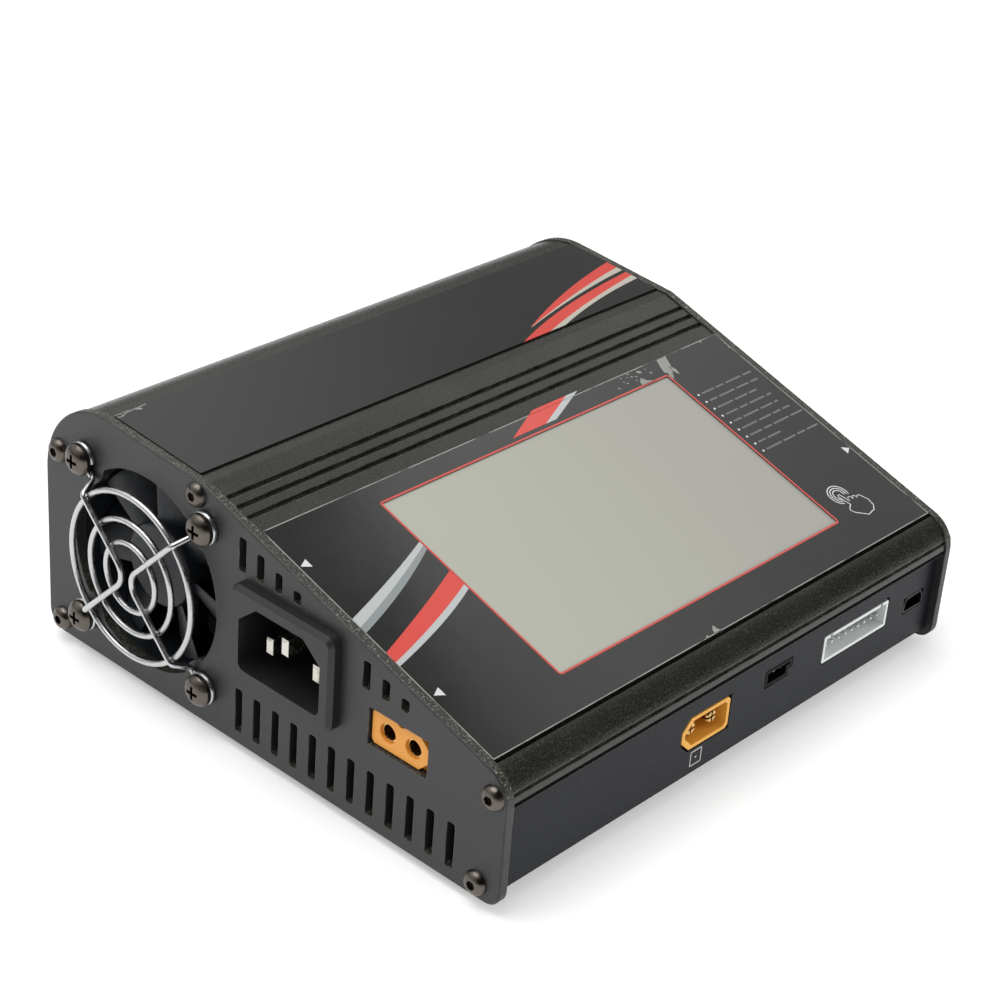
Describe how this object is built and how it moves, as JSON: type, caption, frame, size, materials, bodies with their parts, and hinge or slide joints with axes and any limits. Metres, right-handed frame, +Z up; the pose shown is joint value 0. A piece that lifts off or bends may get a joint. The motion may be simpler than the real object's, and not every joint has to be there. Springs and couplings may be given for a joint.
{
  "type": "balance battery charger",
  "caption": "Low wedge-shaped battery charger with a sloping touch screen, a guarded fan, mains and DC inputs on one end and battery, balance and sensor sockets along the front.",
  "frame": {"origin": "middle of the whole footprint, screw heads and fan guard included, on the surface that the rubber feet stand on", "axes": "+X along the extruded case from the fan end to the USB end, -Y towards the battery-side sockets, +Z up"},
  "size_m": [0.1612, 0.1414, 0.0632],
  "materials": {
    "cap_metal": "smooth satin grey anodised sheet, worn bright along its edge",
    "cover_metal": "dark olive-grey, fine sand-blasted",
    "panel_metal": "satin blue-grey painted sheet",
    "base_metal": "dark matte anodised",
    "label_film": "printed film, near-black, semi-gloss",
    "touch_glass": "resistive touch panel over an unlit pale grey screen, semi-gloss",
    "display_metal": "pressed sheet frame",
    "foam": "soft closed-cell foam",
    "circuit_board": "glass-fibre board with green solder mask",
    "bright_screw": "nickel-plated steel",
    "guard_wire": "bright chromed wire",
    "fan_plastic": "dark blue-grey moulded",
    "winding_copper": "enamelled copper wire",
    "core_steel": "laminated core",
    "magnet": "bonded ferrite",
    "bearing_bronze": "sintered bronze",
    "steel": "plain steel",
    "inlet_plastic": "dark grey moulded, satin",
    "inlet_pin": "nickel-plated brass",
    "dc_plastic": "amber-yellow moulded nylon",
    "output_plastic": "amber-orange moulded nylon",
    "gilt_contact": "gold-plated",
    "white_nylon": "moulded nylon",
    "black_nylon": "moulded nylon",
    "tin_pin": "tinned",
    "port_steel": "drawn nickel-plated shell",
    "foot_rubber": "matte",
    "capacitor_sleeve": "shrunk sleeve",
    "ferrite": "matte sintered ferrite",
    "bobbin_tape": "yellow polyester tape",
    "film_capacitor": "moulded case",
    "fuse_body": "white ceramic",
    "sink_aluminium": "extruded, plain",
    "device_plastic": "moulded epoxy",
    "sheet_paper": "insulating fish paper"
  },
  "bodies": {
    "case": {"top_cover": "cover_metal", "base_plate": "base_metal", "front_panel": "panel_metal", "left_end_cap": "cap_metal", "right_end_cap": "cap_metal", "left_cap_screws": "bright_screw", "right_cap_screws": "bright_screw", "rubber_feet": "foot_rubber", "upper_label": "label_film", "lower_label": "label_film", "touch_panel": "touch_glass", "lcd_module": "display_metal", "display_foam": "foam", "display_board": "circuit_board", "fan_frame": "fan_plastic", "fan_bearing": "bearing_bronze", "fan_stator": "core_steel", "fan_windings": "winding_copper", "fan_board": "circuit_board", "fan_guard": "guard_wire", "fan_screws": "bright_screw", "ac_inlet": "inlet_plastic", "ac_pins": "inlet_pin", "dc_input": "dc_plastic", "dc_input_contacts": "gilt_contact", "dc_input_bracket": "steel", "dc_input_nuts": "bright_screw", "charge_output": "output_plastic", "charge_output_pins": "gilt_contact", "balance_socket": "white_nylon", "balance_pins": "tin_pin", "temp_socket": "black_nylon", "temp_pins": "tin_pin", "pc_port": "port_steel", "pc_port_tongue": "black_nylon", "usb_port": "port_steel", "usb_port_tongue": "black_nylon", "main_board": "circuit_board", "power_board": "circuit_board", "board_spacers": "steel", "board_screws": "steel", "insulating_sheet": "sheet_paper", "transformer_core": "ferrite", "transformer_bobbin": "bobbin_tape", "bulk_capacitors": "capacitor_sleeve", "mains_choke": "winding_copper", "x_capacitor": "film_capacitor", "mains_fuse": "fuse_body", "psu_heat_sink": "sink_aluminium", "switching_transistors": "device_plastic", "bridge_rectifier": "device_plastic", "output_capacitors": "capacitor_sleeve", "power_inductors": "ferrite", "charger_heat_sink": "sink_aluminium", "power_transistors": "device_plastic", "charger_capacitors": "capacitor_sleeve", "buzzer": "black_nylon"},
    "rotor": {"fan_rotor": "fan_plastic", "fan_magnet": "magnet", "fan_shaft": "steel"}
  },
  "joints": [
    {"name": "fan_spin", "type": "hinge", "parent": "case", "child": "rotor", "pos_m": [-0.06567, 0.03699, 0.03119], "axis": [1, 0, 0], "continuous": true}
  ]
}
